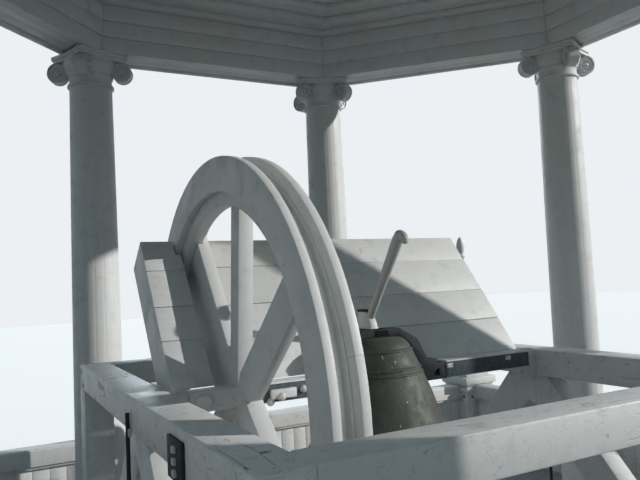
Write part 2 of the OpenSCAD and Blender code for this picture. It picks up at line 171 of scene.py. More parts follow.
def painted_wood(name, grain, crazing, wear, paint=PAINT):
    """Old oil paint on wood: brush marks, grime, angular cracks and chips down to grey wood."""
    m = Shader(name)
    fine = GRAIN[grain]
    cells = m.stretch(CELLS[grain])

    brush = m.noise(3.0, 5, 0.6, m.stretch(fine))
    cloud = m.noise(1.6, 4, 0.55)
    grime = m.noise(11, 6, 0.68)
    specks = m.ramp(m.noise(80, 3, 0.6), 0.68, 0.73)

    # Cracks: cells of broken paint, long slivers along the grain and small ticks
    weathered = m.ramp(m.noise(1.15, 3, 0.6), 0.50, 0.60)
    broken = m.ramp(m.noise(19, 2, 0.5), 0.52, 0.56)
    crazed = m.times(m.joints(9.5, 0.045, cells), m.times(weathered, broken))
    slivers = m.joints(2.6, 0.035, m.stretch(tuple(0.42 * g if g > 1 else 0.4 for g in fine)))
    checked = m.times(slivers, m.ramp(m.noise(2.3, 3, 0.6), 0.53, 0.59))
    ticks = m.times(m.joints(24, 0.07, cells), m.ramp(m.noise(30, 3, 0.6), 0.50, 0.60, 0, 0.7))
    cracks = m.times(m.maths("MAXIMUM", m.maths("MAXIMUM", crazed, checked), ticks), crazing)

    edge = 0.775 - 0.05 * wear
    flakes = m.noise(17, 5, 0.62, m.stretch(tuple(0.12 * g + 0.5 for g in fine)))
    chips = m.times(m.ramp(flakes, edge, edge + 0.02), min(1.0, 1.4 * wear))

    colour = m.mix(m.ramp(brush, 0.35, 0.72, 0, 0.5), paint, shaded(paint, 0.90))
    colour = m.mix(m.ramp(cloud, 0.38, 0.66, 0, 0.5), colour, shaded(paint, 0.93, 0.92, 0.88))
    colour = m.mix(m.ramp(grime, 0.50, 0.78, 0, 0.42), colour, GRIME)
    colour = m.mix(m.times(specks, 0.35 + 0.3 * crazing), colour, SPECK)
    colour = m.mix(chips, m.mix(cracks, colour, CRACK), GREY_WOOD)

    sunk = m.maths("ADD", cracks, m.times(chips, 0.5))
    relief = m.maths("ADD", m.maths("SUBTRACT", m.times(brush, 0.35), sunk), m.times(grime, 0.25))
    return m.finish(colour, m.ramp(grime, 0.3, 0.8, 0.45, 0.70), m.bump(relief, 0.0014))


def black_iron(name, greyness=1.0):
    """Black paint on iron, lighter the higher its greyness."""
    m = Shader(name)
    grit = m.noise(55, 4, 0.6)
    rust = m.ramp(m.noise(9, 5, 0.6), 0.60, 0.80, 0, 0.5)
    dark, light = shaded((0.016, 0.020, 0.022), greyness), shaded((0.028, 0.034, 0.037), greyness)
    colour = m.mix(rust, m.mix(m.ramp(grit, 0.35, 0.7), dark, light), (0.060, 0.040, 0.028))
    return m.finish(colour, m.ramp(grit, 0.3, 0.7, 0.62, 0.82), m.bump(grit, 0.0010), specular=0.20)


def painted_iron():
    m = Shader("painted_iron")
    cloud = m.noise(6, 5, 0.6)
    rust = m.ramp(m.noise(14, 5, 0.65), 0.60, 0.70, 0, 0.8)
    colour = m.mix(m.ramp(cloud, 0.35, 0.7), (0.56, 0.555, 0.54), (0.47, 0.47, 0.455))
    colour = m.mix(rust, colour, (0.17, 0.085, 0.045))
    relief = m.bump(m.maths("SUBTRACT", cloud, rust), 0.0012)
    return m.finish(colour, m.ramp(cloud, 0.3, 0.7, 0.42, 0.6), relief)


def bell_bronze():
    m = Shader("bell_bronze")
    cloud = m.noise(5, 6, 0.62)
    fine = m.noise(30, 5, 0.6)
    specks = m.ramp(m.noise(46, 2, 0.5), 0.73, 0.76)
    runs = m.noise(2.6, 5, 0.6, m.stretch((8, 8, 0.9)))
    colour = m.mix(m.ramp(cloud, 0.35, 0.7), (0.048, 0.053, 0.044), (0.072, 0.079, 0.067))
    colour = m.mix(m.ramp(runs, 0.50, 0.78, 0, 0.45), colour, (0.100, 0.110, 0.095))
    colour = m.mix(m.ramp(fine, 0.5, 0.75, 0, 0.4), colour, (0.040, 0.038, 0.030))
    colour = m.mix(m.times(specks, 0.8), colour, (0.42, 0.43, 0.38))
    rough = m.ramp(fine, 0.3, 0.7, 0.52, 0.70)
    return m.finish(colour, rough, m.bump(fine, 0.0005), specular=0.3, metallic=0.15)


def roof_sheet():
    m = Shader("roof_sheet")
    cloud = m.noise(1.4, 5, 0.6)
    streak = m.noise(3, 5, 0.6, m.stretch((3, 3, 0.6)))
    colour = m.mix(m.ramp(cloud, 0.3, 0.75), (0.21, 0.235, 0.24), (0.28, 0.30, 0.30))
    colour = m.mix(m.ramp(streak, 0.52, 0.8, 0, 0.6), colour, (0.15, 0.155, 0.15))
    return m.finish(colour, m.ramp(cloud, 0.3, 0.7, 0.68, 0.84), m.bump(cloud, 0.002), specular=0.25)


# Finish, grain, strength of its cracks, share of its chips and, where it isn't white, its paint
PAINTED = (
    ("white_x", "x", 0.55, 0.50), ("white_y", "y", 1.0, 0.60), ("white_z", "z", 0.45, 0.25),
    ("white_smooth", "z", 0.12, 0.12), ("white_trim", "any", 0.05, 0.15), ("cover_boards", "x", 0.25, 0.30),
    ("lever_ash", "z", 0.3, 0.4, (0.43, 0.435, 0.42)), ("deck_grey", "x", 0.6, 0.6, (0.30, 0.31, 0.315)),
)
MATERIALS = {row[0]: painted_wood(*row) for row in PAINTED}
MATERIALS["black_iron"] = black_iron("black_iron")
# A greyer black iron for the headstock's front plates; their dark grey is partly painted shade.
MATERIALS["worn_iron"] = black_iron("worn_iron", 3.6)
MATERIALS["painted_iron"] = painted_iron()
MATERIALS["bell_bronze"] = bell_bronze()
MATERIALS["roof_sheet"] = roof_sheet()


# Shapes
SHARP_TURN = math.radians(25)
BOARD_EASE = 0.0022


class Form:
    """A mesh under construction, gathered from closed shapes."""

    def __init__(self):
        self.mesh = bmesh.new()

    def take(self, source, place=None):
        """Adds a bmesh or a plain mesh, which is used up."""
        if isinstance(source, bmesh.types.BMesh):
            data = bpy.data.meshes.new("part")
            source.to_mesh(data)
            source.free()
        else:
            data = source
        if place is not None:
            data.transform(place)
        self.mesh.from_mesh(data)
        bpy.data.meshes.remove(data)
        return self

    def block(self, low, high, ease, place=None):
        """A box between two corners, with eased edges."""
        low, high = Vector(low), Vector(high)
        part = bmesh.new()
        bmesh.ops.create_cube(part, size=1, matrix=Matrix.LocRotScale((low + high) / 2, None, high - low))
        return self.take(eased(part, ease), place)

    def prism(self, outline, start, end, place=None, ease=0.003):
        """A flat outline in X and Y, carried along Z from start to end."""
        part = skinned([[(x, y, z) for x, y in outline] for z in (start, end)])
        return self.take(eased(part, ease), place)

    def turned(self, profile, sides=48, place=None, ease=0.0):
        """A closed profile of (radius, height), turned about Z; a radius of 0 is a pole."""
        part = bmesh.new()
        rings = []
        for r, z in profile:
            if r < 1e-6:
                rings.append([part.verts.new((0, 0, z))])
                continue
            turns = (2 * math.pi * k / sides for k in range(sides))
            rings.append([part.verts.new((r * math.cos(t), r * math.sin(t), z)) for t in turns])
        for a, b in zip(rings, rings[1:]):
            for k in range(sides):
                n = (k + 1) % sides
                corners = [a[k % len(a)], a[n % len(a)], b[n % len(b)], b[k % len(b)]]
                part.faces.new(list(dict.fromkeys(corners)))
        bmesh.ops.recalc_face_normals(part, faces=part.faces)
        return self.take(eased(part, ease), place)

    def tube(self, path, radii, sides):
        """A round bar along a path, with a radius at each point and flat capped ends."""
        path = [Vector(p) for p in path]
        rings = []
        for i, (point, radius) in enumerate(zip(path, radii)):
            along = (path[min(i + 1, len(path) - 1)] - path[max(i - 1, 0)]).normalized()
            aside = Vector((1, 0, 0)) if abs(along.x) < 0.9 else Vector((0, 0, 1))
            across = along.cross(aside).normalized()
            aside = across.cross(along).normalized()
            turns = [2 * math.pi * k / sides for k in range(sides)]
            rings.append([point + radius * (aside * math.cos(t) + across * math.sin(t)) for t in turns])
        return self.take(skinned(rings))

    def stand(self, name, finish, slot, *nodes, body="belfry", smooth=32):
        """Turns the form into a finished piece that stands for the named nodes."""
        data = bpy.data.meshes.new(name)
        self.mesh.to_mesh(data)
        self.mesh.free()
        data.shade_smooth()
        data.set_sharp_from_angle(angle=math.radians(smooth))
        data.materials.append(MATERIALS[finish])
        obj = bpy.data.objects.new(name, data)
        bpy.context.collection.objects.link(obj)
        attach(obj, body)
        if nodes:
            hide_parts(*nodes)

    def tool(self):
        """A passing object that a tree copies; grow() removes it."""
        data = bpy.data.meshes.new("tool")
        self.mesh.to_mesh(data)
        self.mesh.free()
        obj = bpy.data.objects.new("tool", data)
        bpy.context.collection.objects.link(obj)
        return obj


def skinned(rings):
    """A closed bar through rings of points, with flat ends."""
    part = bmesh.new()
    rings = [[part.verts.new(point) for point in ring] for ring in rings]
    for a, b in zip(rings, rings[1:]):
        for k in range(len(a)):
            n = (k + 1) % len(a)
            part.faces.new((a[k], a[n], b[n], b[k]))
    part.faces.new(rings[0][::-1])
    part.faces.new(rings[-1])
    bmesh.ops.recalc_face_normals(part, faces=part.faces)
    return part


def eased(part, width, leave=()):
    """Rounds off every edge that turns sharply, except those to leave."""
    if width > 0:
        sharp = [e for e in part.edges if e not in leave and e.calc_face_angle(0) > SHARP_TURN]
        bmesh.ops.bevel(part, geom=sharp, offset=width, segments=2, profile=0.5, affect="EDGES",
                        clamp_overlap=True)
    return part


def softened(name, ease):
    """A copy of a node with merged faces and eased edges."""
    part = bmesh.new()
    part.from_mesh(NODES[name].data)
    bmesh.ops.remove_doubles(part, verts=part.verts, dist=1e-5)
    bmesh.ops.dissolve_limit(part, angle_limit=math.radians(1), verts=part.verts, edges=part.edges)
    return Form().take(eased(part, ease))


def at(x, y, z):
    return Matrix.Translation((x, y, z))


def turn_z(degrees):
    return Matrix.Rotation(math.radians(degrees), 4, "Z")


# An outline in X and Y laid so that it is seen along X (Y to the back, Z up)
UPRIGHT = Matrix(((0, 0, 1, 0), (1, 0, 0, 0), (0, 1, 0, 0), (0, 0, 0, 1)))
# From Z to the front, as a matrix and as angles
FORWARD = Matrix.Rotation(math.pi / 2, 4, "X")
TO_FRONT = (math.pi / 2, 0, 0)


def mirrored(half):
    """An outline from its right half, drawn from one end on the middle line to the other."""
    return half + [(-x, y) for x, y in half[::-1]]


def side_of(name):
    return 1 if name.endswith("right") else -1


def smooth_line(points, steps):
    """Extra points on a curve through the given ones."""
    out = []
    for i in range(len(points) - 1):
        p0, p1, p2, p3 = (Vector(points[max(0, min(len(points) - 1, i + k))]) for k in (-1, 0, 1, 2))
        for s in range(steps):
            t = s / steps
            out.append(0.5 * (2 * p1 + (p2 - p0) * t + (2 * p0 - 5 * p1 + 4 * p2 - p3) * t * t
                              + (3 * p1 - p0 - 3 * p2 + p3) * t ** 3))
    return [tuple(p) for p in out] + [tuple(points[-1])]


# Geometry Nodes
class Tree(Net):
    """A Geometry Nodes tree under construction, with named inputs, a finish among them."""

    def __init__(self, name, **inputs):
        super().__init__(bpy.data.node_groups.new(name, "GeometryNodeTree"))
        face = self.tree.interface
        face.new_socket("Geometry", in_out="INPUT", socket_type="NodeSocketGeometry")
        inputs["Finish"] = "Material"
        self.keys = {
            label: face.new_socket(label, in_out="INPUT", socket_type="NodeSocket" + kind).identifier
            for label, kind in inputs.items()
        }
        face.new_socket("Geometry", in_out="OUTPUT", socket_type="NodeSocketGeometry")
        self.source = self.tree.nodes.new("NodeGroupInput").outputs

    def scaled(self, vector, factor):
        return self.node("ShaderNodeVectorMath", settings={"operation": "SCALE"}, i0=vector, Scale=factor)

    def copies(self, points, **words):
        """The piece on each of the points."""
        piece = self.node("GeometryNodeObjectInfo", out="Geometry", Object=self.source["Piece"])
        return self.node("GeometryNodeInstanceOnPoints", Points=points, Instance=piece, **words)

    def end(self, geometry):
        real = self.node("GeometryNodeRealizeInstances", Geometry=geometry)
        coated = self.node("GeometryNodeSetMaterial", Geometry=real, Material=self.source["Finish"])
        self.feed(self.tree.nodes.new("NodeGroupOutput").inputs["Geometry"], coated)
        return self

    def grow(self, points=(), **settings):
        """The plain mesh that the tree makes with these settings."""
        data = bpy.data.meshes.new("seed")
        data.from_pydata(points, [], [])
        seed = bpy.data.objects.new("seed", data)
        modifier = seed.modifiers.new("grow", "NODES")
        modifier.node_group = self.tree
        for label, value in settings.items():
            modifier[self.keys[label]] = MATERIALS[value] if label == "Finish" else value
        bpy.context.collection.objects.link(seed)
        graph = bpy.context.evaluated_depsgraph_get()
        made = bpy.data.meshes.new_from_object(seed.evaluated_get(graph))
        seed.modifiers.clear()
        bpy.data.objects.remove(seed)
        if "Piece" in settings:
            bpy.data.objects.remove(settings["Piece"])
        return made


def row_tree():
    """Copies of a piece in a row, each a little out of place."""
    t = Tree("row", Piece="Object", Count="Int", Start="Vector", Step="Vector", Wander="Vector", Seed="Int")
    s = t.source
    line = t.node("GeometryNodeMeshLine", settings={"mode": "OFFSET"}, Count=s["Count"],
                  Start_Location=s["Start"], Offset=s["Step"])
    copies = t.copies(line)
    stray = t.node("FunctionNodeRandomValue", settings={"data_type": "FLOAT_VECTOR"},
                   i0=t.scaled(s["Wander"], -1.0), i1=s["Wander"], Seed=s["Seed"])
    return t.end(t.node("GeometryNodeTranslateInstances", Instances=copies, Translation=stray))


def ring_tree():
    """Copies of a piece turned about an axis through the origin, then moved to a centre."""
    t = Tree("ring", Piece="Object", Count="Int", First="Float", Axis="Vector", Centre="Vector")
    s = t.source
    start = t.node("GeometryNodeMeshLine", Count=s["Count"], Offset=(0, 0, 0))
    share = t.maths("DIVIDE", t.node("GeometryNodeInputIndex"), s["Count"])
    angle = t.maths("ADD", t.maths("MULTIPLY", share, 2 * math.pi), s["First"])
    turn = t.node("FunctionNodeEulerToRotation", Euler=t.scaled(s["Axis"], angle))
    return t.end(t.node("GeometryNodeTranslateInstances", Instances=t.copies(start, Rotation=turn),
                        Translation=s["Centre"], Local_Space=False))


def spot_tree():
    """A copy of a piece on each point of the seed mesh."""
    t = Tree("spots", Piece="Object", Turn="Vector")
    turn = t.node("FunctionNodeEulerToRotation", Euler=t.source["Turn"])
    return t.end(t.copies(t.source["Geometry"], Rotation=turn))


def shaft_tree():
    """A column shaft of staves: it swells, thins to its neck and has a fine groove at each joint."""
    t = Tree("shaft", Foot="Float", Neck="Float", Height="Float", Staves="Int", Groove="Float")
    s = t.source
    points = t.maths("MULTIPLY", s["Staves"], 10)
    tube = t.node("GeometryNodeMeshCylinder", Vertices=points, Side_Segments=22, Radius=1.0,
                  Depth=s["Height"])
    axes = t.tree.nodes.new("ShaderNodeSeparateXYZ")
    t.feed(axes.inputs[0], t.node("GeometryNodeInputPosition"))
    x, y, z = axes.outputs
    share = t.maths("ADD", t.maths("DIVIDE", z, s["Height"]), 0.5)
    thinned = t.maths("MULTIPLY", t.maths("POWER", share, 1.7), t.maths("SUBTRACT", s["Foot"], s["Neck"]))
    radius = t.maths("SUBTRACT", s["Foot"], thinned)
    angle = t.maths("DIVIDE", t.maths("ARCTAN2", y, x), 2 * math.pi)
    part = t.maths("FRACT", t.maths("ADD", t.maths("MULTIPLY", angle, s["Staves"]), 0.5))
    near = t.maths("LESS_THAN", t.maths("ABSOLUTE", t.maths("SUBTRACT", part, 0.5)), 0.03)
    radius = t.maths("SUBTRACT", radius, t.maths("MULTIPLY", near, s["Groove"]))
    x, y = (t.maths("MULTIPLY", axis, radius) for axis in (x, y))
    put = t.node("ShaderNodeCombineXYZ", X=x, Y=y, Z=z)
    return t.end(t.node("GeometryNodeSetPosition", Geometry=tube, Position=put))


ROW, RING, SPOTS, SHAFT = row_tree(), ring_tree(), spot_tree(), shaft_tree()


def around(form, finish, count=8, first=0.0, axis=(0, 0, 1), centre=(0, 0, 0)):
    """Copies of a form around an axis, the building's own unless another is given."""
    return RING.grow(Piece=form.tool(), Count=count, First=math.radians(first), Axis=axis, Centre=centre,
                     Finish=finish)


def studded(spots, head, turn, finish):
    """Copies of a head at the spots, turned from upright by angles about X, Y and Z."""
    return SPOTS.grow(spots, Piece=head.tool(), Turn=turn, Finish=finish)


# Levels and places of the building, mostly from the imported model
HALF_DECK = 3.0
CORNER = 2.74  # the parapet's line and the pedestals' middles
DECK_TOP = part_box("deck")[1].z
CAPITAL_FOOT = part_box("capitals")[0].z
BEAM_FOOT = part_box("ring_beam")[0].z
CORNICE_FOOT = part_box("cornice")[0].z
ROOF_FOOT, ROOF_TOP = (corner.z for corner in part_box("roof"))
EIGHTH = math.tan(math.radians(22.5))
ROUND_CORNER = 1 / math.cos(math.radians(22.5))
RING_RADIUS = 4.470 / 2 * ROUND_CORNER


def deck():
    """A slab under long boards, with an edging on each side."""
    half, count, top = HALF_DECK, 42, DECK_TOP
    board = 2 * half / count
    slab = half - 0.02
    form = Form().block((-slab, -slab, 0), (slab, slab, top - 0.022), 0.004)
    long, wide = half - 0.035, board / 2 - 0.0012
    plank = Form().block((-long, -wide, -0.024), (long, wide, 0), 0.002)
    form.take(ROW.grow(
        Piece=plank.tool(), Count=count, Start=(0, -half + board / 2 + 0.002, top - 0.0008),
        Step=(0, board * 0.9993, 0), Wander=(0, 0.0003, 0.0007), Seed=3, Finish="deck_grey"))
    edging = [(0, 0.030), (0.006, 0.022), (0.04, 0.022), (0.04, top), (0.012, top), (0, top - 0.012)]
    for k in range(4):
        form.prism([(y - half, z) for y, z in edging], -half + 0.001, half - 0.001,
                   turn_z(90 * k) @ UPRIGHT, 0.002)
    form.stand("deck_boards", "deck_grey", "deck_paint", "deck")


def parapet(name, degrees):
    """One side: upright boards under a broad rail, with a skirting."""
    run, foot, top, count = 5.16, DECK_TOP, DECK_TOP + 0.625, 45
    pitch = run / count
    board = Form().block((-pitch / 2 + 0.0008, -0.035, foot), (pitch / 2 - 0.0008, 0.035, top - 0.14), 0.004)
    form = Form().take(ROW.grow(
        Piece=board.tool(), Count=count, Start=((pitch - run) / 2, CORNER, 0), Step=(pitch, 0, 0),
        Wander=(0.0003, 0.0012, 0), Seed=degrees + 5, Finish="white_z"))
    skirting = [(0.055, 0.0), (0.055, 0.100), (0.046, 0.112), (0.040, 0.120)]
    rail = [(0.058, 0.480), (0.058, 0.490), (0.066, 0.498), (0.075, 0.503), (0.075, 0.612), (0.064, 0.625)]
    for half in (skirting, rail):
        outline = [(y + CORNER, z + foot) for y, z in mirrored(half)]
        form.prism(outline, -run / 2, run / 2, UPRIGHT, 0.0025)
    form.mesh.transform(turn_z(degrees))
    form.stand(name + "_boards", "white_y" if degrees % 180 else "white_x", "painted_wood", name)


def pedestal(number):
    """A square pier with plinth, cap and a raised panel frame on each face."""
    sx = 1 if number in (1, 4) else -1
    sy = 1 if number < 3 else -1
    form = Form()
    for half, low, high, ease in (
            (0.160, 0.0, 0.625, 0.005), (0.176, 0.0, 0.110, 0.006), (0.168, 0.105, 0.124, 0.006),
            (0.176, 0.560, 0.605, 0.006), (0.172, 0.614, 0.636, 0.006), (0.190, 0.632, 0.700, 0.008),
            (0.140, 0.695, 0.755, 0.006)):
        form.block((-half, -half, DECK_TOP + low), (half, half, DECK_TOP + high), ease)
    side, foot, head, lath = 0.120, 0.155, 0.530, 0.028
    for k in range(4):
        for y0, y1, z0, z1 in ((-side, lath - side, foot, head), (side - lath, side, foot, head),
                               (-side, side, foot, foot + lath), (-side, side, head - lath, head)):
            form.block((0.155, y0, DECK_TOP + z0), (0.168, y1, DECK_TOP + z1), 0.003, turn_z(90 * k))
    form.mesh.transform(at(sx * CORNER, sy * CORNER, 0))
    form.stand(f"pedestal_{number}_mouldings", "white_z", "painted_wood", f"pedestal_{number}")


def urns():
    """Slender turned urns, one on each pedestal."""
    outline = [
        (0.52, 0.0), (0.55, 0.012), (0.55, 0.045), (0.40, 0.075), (0.25, 0.12), (0.23, 0.15), (0.34, 0.20),
        (0.62, 0.26), (0.85, 0.325), (0.97, 0.40), (1.00, 0.47), (0.93, 0.535), (0.70, 0.575), (0.61, 0.590),
        (0.66, 0.605), (0.64, 0.625), (0.42, 0.655), (0.27, 0.70), (0.19, 0.76), (0.165, 0.82), (0.27, 0.842),
        (0.28, 0.855), (0.19, 0.870), (0.25, 0.895), (0.275, 0.925), (0.24, 0.958), (0.13, 0.988)]
    radius, height = 0.15, 1.35
    curve = [(r * radius, h * height) for r, h in smooth_line(outline, 4)]
    urn = Form().turned([(0, 0)] + curve + [(0, height)], 40, at(CORNER, CORNER, DECK_TOP + 0.755))
    form = Form().take(around(urn, "white_smooth", count=4))
    form.stand("turned_urns", "white_smooth", "painted_wood", "corner_urns", smooth=40)


def columns():
    """Each column has a turned base and a shaft of sixteen staves."""
    base, torus = 0.19, 0.024
    shaft_height = 3.14 - base
    turns = (-1.2, -0.7, -0.2, 0.3, 0.8, 1.25)
    profile = [(0, 0), (0.2025, 0), (0.2045, 0.003), (0.2045, 0.056), (0.2015, 0.060), (0.193, 0.062)]
    profile += [(0.1825 + torus * math.cos(a), 0.090 + torus * math.sin(a)) for a in turns]
    profile += [(0.188, 0.116), (0.180, 0.119), (0.178, 0.128), (0.1765, 0.138), (0.170, 0.141),
                (0.1665, 0.150), (0.1645, 0.165), (0.1635, base), (0, base)]
    for i in range(1, 9):
        place = turn_z(22.5 + 45 * (i - 1)) @ at(RING_RADIUS, 0, DECK_TOP)
        form = Form().turned(profile, 64, place)
        shaft = SHAFT.grow(Foot=0.1625, Neck=0.1425, Height=shaft_height, Staves=16, Groove=0.0013,
                           Finish="white_smooth")
        form.take(shaft, place @ at(0, 0, base + shaft_height / 2) @ turn_z(11 * i))
        form.stand(f"column_{i}_staves", "white_smooth", "painted_wood", f"column_{i}", smooth=40)


def spiral(form, place):
    """A rolled end: a band that winds in to an eye, with a sunk web between its two faces."""
    turns, steps, outer, inner, wall = 2.2, 44, 0.074, 0.019, 0.0065
    rings = []
    for k in range(steps + 1):
        r = outer * (inner / outer) ** (k / steps)
        a = math.pi / 2 - 2 * math.pi * turns * k / steps
        wide = 0.045 if r > 0.03 else 0.047
        corners = ((r, -wide), (r, wide), (r - wall, wide), (r - wall, -wide))
        rings.append([(math.cos(a) * q, math.sin(a) * q, z) for q, z in corners])
    form.take(skinned(rings), place)
    form.turned([(0, -0.036), (0.068, -0.036), (0.068, 0.036), (0, 0.036)], 32, place)
    eye = [(0, -0.050), (0.010, -0.049), (0.017, -0.044), (0.017, 0.044), (0.010, 0.049), (0, 0.050)]
    form.turned(eye, 20, place)


def capitals():
    """Scrolled capitals: a necking, a swelling echinus, four diagonal scrolls and a hollow-sided top."""
    form = Form().turned([
        (0, 0), (0.1545, 0), (0.1565, 0.004), (0.1565, 0.013), (0.1540, 0.018), (0.1425, 0.019),
        (0.1425, 0.066), (0.1455, 0.071), (0.1515, 0.074), (0.1530, 0.082), (0.1515, 0.089), (0.154, 0.094),
        (0.162, 0.108), (0.170, 0.128), (0.1755, 0.150), (0.1760, 0.166), (0.173, 0.180), (0.173, 0.191),
        (0, 0.191)], 64)
    facing = at(0.219, 0, 0.107) @ FORWARD
    for k in range(4):
        spiral(form, turn_z(45 + 90 * k) @ facing)
    for half, low, high in ((0.188, 0.183, 0.206), (0.198, 0.204, 0.230)):
        shares = [k / 6 for k in range(-6, 7)]
        side = [Vector((half - 0.014 * (1 - t * t), t * (half - 0.026), 0)) for t in shares]
        outline = [turn_z(90 * q) @ point for q in range(4) for point in side]
        form.prism([(p.x, p.y) for p in outline], low, high)
    form.mesh.transform(at(RING_RADIUS, 0, CAPITAL_FOOT))
    ring = Form().take(around(form, "white_trim", first=22.5))
    ring.stand("scrolled_capitals", "white_trim", "painted_wood", "capitals")


def octagon_boards(profile, ease=0.002):
    """Eight mitred boards around the building; the profile is pairs of apothem and height."""
    half_gap = 0.0007
    part = skinned([[(a, side * (a * EIGHTH - half_gap), z) for a, z in profile] for side in (-1, 1)])
    return around(Form().take(eased(part, ease)), "white_trim")


def plank_ring(inner, outer, low, high, **words):
    return octagon_boards([(inner, low), (outer, low), (outer, high), (inner, high)], **words)


def entablature():
    """The ring beam with its stepped faces and panelled foot, the cornice and the stepped ceiling."""
    tier = 0.11
    form = Form()
    for s in range(3):
        low, high = BEAM_FOOT + tier * s, BEAM_FOOT + tier * (s + 1)
        outer, inner = 2.38 + 0.012 * s, 2.09 - 0.012 * s
        form.take(plank_ring(outer - 0.035, outer, low + 0.001, high))
        form.take(plank_ring(inner, inner + 0.035, low + 0.001, high))
    sunk = BEAM_FOOT + 0.012
    for inner, outer in ((2.124, 2.2345), (2.2355, 2.346)):
        form.take(plank_ring(inner, outer, sunk, sunk + 0.02))
    for inner in (2.124, 2.330):
        form.take(plank_ring(inner, inner + 0.016, sunk - 0.008, sunk + 0.004, ease=0.004))
    form.stand("ring_beam_boards", "white_trim", "painted_wood", "ring_beam")

    z = CORNICE_FOOT
    crown = [(2.30, 0.0), (2.412, 0.0), (2.424, 0.006), (2.433, 0.020), (2.435, 0.0475), (2.468, 0.0475),
             (2.484, 0.056), (2.493, 0.070), (2.495, 0.095), (2.604, 0.095), (2.612, 0.102), (2.612, 0.1425),
             (2.624, 0.148), (2.640, 0.160), (2.655, 0.170), (2.664, 0.178), (2.664, 0.190), (2.30, 0.190)]
    form = Form().take(octagon_boards([(a, z + h) for a, h in crown], ease=0.0012))
    form.take(plank_ring(2.06, 2.31, z + 0.15, z + 0.19))
    form.stand("cornice_moulding", "white_trim", "painted_wood", "cornice")

    step = 0.03
    form = Form()
    edges = (2.066, 1.986, 1.826, 1.666, 1.506)
    for s in range(4):
        low = z + step * s
        form.take(plank_ring(edges[s + 1], edges[s] + 0.018 * (s > 0), low, low + step - 0.001))
        middle = (edges[s + 1] + edges[s]) / 2
        if s:
            form.take(plank_ring(middle - 0.008, middle + 0.008, low - 0.003, low + 0.004, ease=0.0015))
    top = z + 4 * step
    count = 11
    width = (edges[4] + 0.016) / count
    for k in range(1, count):
        form.take(plank_ring(width * k + 0.0008, width * (k + 1) - 0.0008, top, top + 0.026))
    hub = (width - 0.001) * ROUND_CORNER
    form.turned([(0, top), (hub, top), (hub, top + 0.026), (0, top + 0.026)], 8, turn_z(22.5), ease=0.002)
    form.stand("ceiling_boards", "white_trim", "painted_wood", "ceiling")


def roof():
    """A low roof of seamed sheet, with a roll on each corner and a cap."""
    eave, apex, peak = 2.694, 0.0924, ROOF_TOP - 0.03
    eave_top = ROOF_FOOT + 0.022
    form = Form().turned([
        (0, ROOF_FOOT), (eave * ROUND_CORNER, ROOF_FOOT), (eave * ROUND_CORNER, eave_top),
        (apex * ROUND_CORNER, peak), (0, peak)], 8, turn_z(22.5))
    slope = math.atan2(peak - eave_top, eave - apex)
    lay = at(eave, 0, eave_top) @ Matrix.Rotation(slope, 4, "Y")
    for t in (-0.86, -0.43, 0.0, 0.43, 0.86):
        inner = max(abs(t) / EIGHTH, apex + 0.06) + 0.01
        length = (eave - inner) / math.cos(slope)
        seam = Form().block((-length + 0.001, t - 0.008, -0.006), (0, t + 0.008, 0.020), 0.003, lay)
        form.take(around(seam, "roof_sheet"))
    low, high = ((eave - 0.01) * ROUND_CORNER, 0, eave_top), (apex * ROUND_CORNER, 0, peak - 0.006)
    form.take(around(Form().tube([low, high], (0.024, 0.022), 12), "roof_sheet", first=22.5))
    form.turned([(0, peak - 0.03), (0.19, peak - 0.052), (0.185, peak - 0.02), (0.10, peak + 0.016),
                 (0.03, ROOF_TOP - 0.001), (0, ROOF_TOP)], 8, turn_z(22.5), ease=0.004)
    form.stand("roof_seams", "roof_sheet", "roof_sheet", "roof", smooth=20)


# Bell frame: X and Y are measured from the bell's axis, Z from the axle
AXLE = Vector((-0.075, 0.025, 1.412))
AT_AXLE = Matrix.Translation(AXLE)
FRAME_TOP = 0.028
BEARER = 1.0
HALF_BEAM = 0.075
FRONT_Y, BACK_Y = -1.10, 1.32


def fixed(form, *words, **settings):
    """Stands a form, made about the axle, that belongs to the belfry."""
    form.mesh.transform(AT_AXLE)
    form.stand(*words, **settings)


def swings(form, *words, **settings):
    """Stands a form, made about the axle, that turns with the bell."""
    fixed(form, *words, body="swinging_bell", **settings)


def timbers():
    """The heavy timbers, with eased edges and peg heads at their joints."""
    finishes = {
        "sills": "white_y", "posts": "white_z", "cross_beams": "white_x", "end_rails": "white_x",
        "bearer_left": "white_y", "bearer_right": "white_y",
        "braces_left": "white_z", "braces_right": "white_z",
    }
    for name, finish in finishes.items():
        form = softened(name, 0.006)
        spots, turn = [], TO_FRONT
        if name == "posts":
            spots = [(x, FRONT_Y - HALF_BEAM, FRAME_TOP - 0.165 - d)
                     for x in (-1.025, 0.975) for d in (0, 0.05)]
        elif name.startswith("bearer"):
            spots = [(side_of(name) * (BEARER + HALF_BEAM), y + d, FRAME_TOP - 0.065 + d)
                     for y in (FRONT_Y, BACK_Y) for d in (-0.035, 0.035)]
            turn = (0, side_of(name) * math.pi / 2, 0)
        if spots:
            peg = [(0, -0.01), (0.013, -0.01), (0.013, 0.003), (0.0104, 0.0054), (0, 0.006)]
            form.take(studded(spots, Form().turned(peg, 14), turn, finish), AT_AXLE)
        form.stand(name + "_timber", finish, "frame_timber", name)


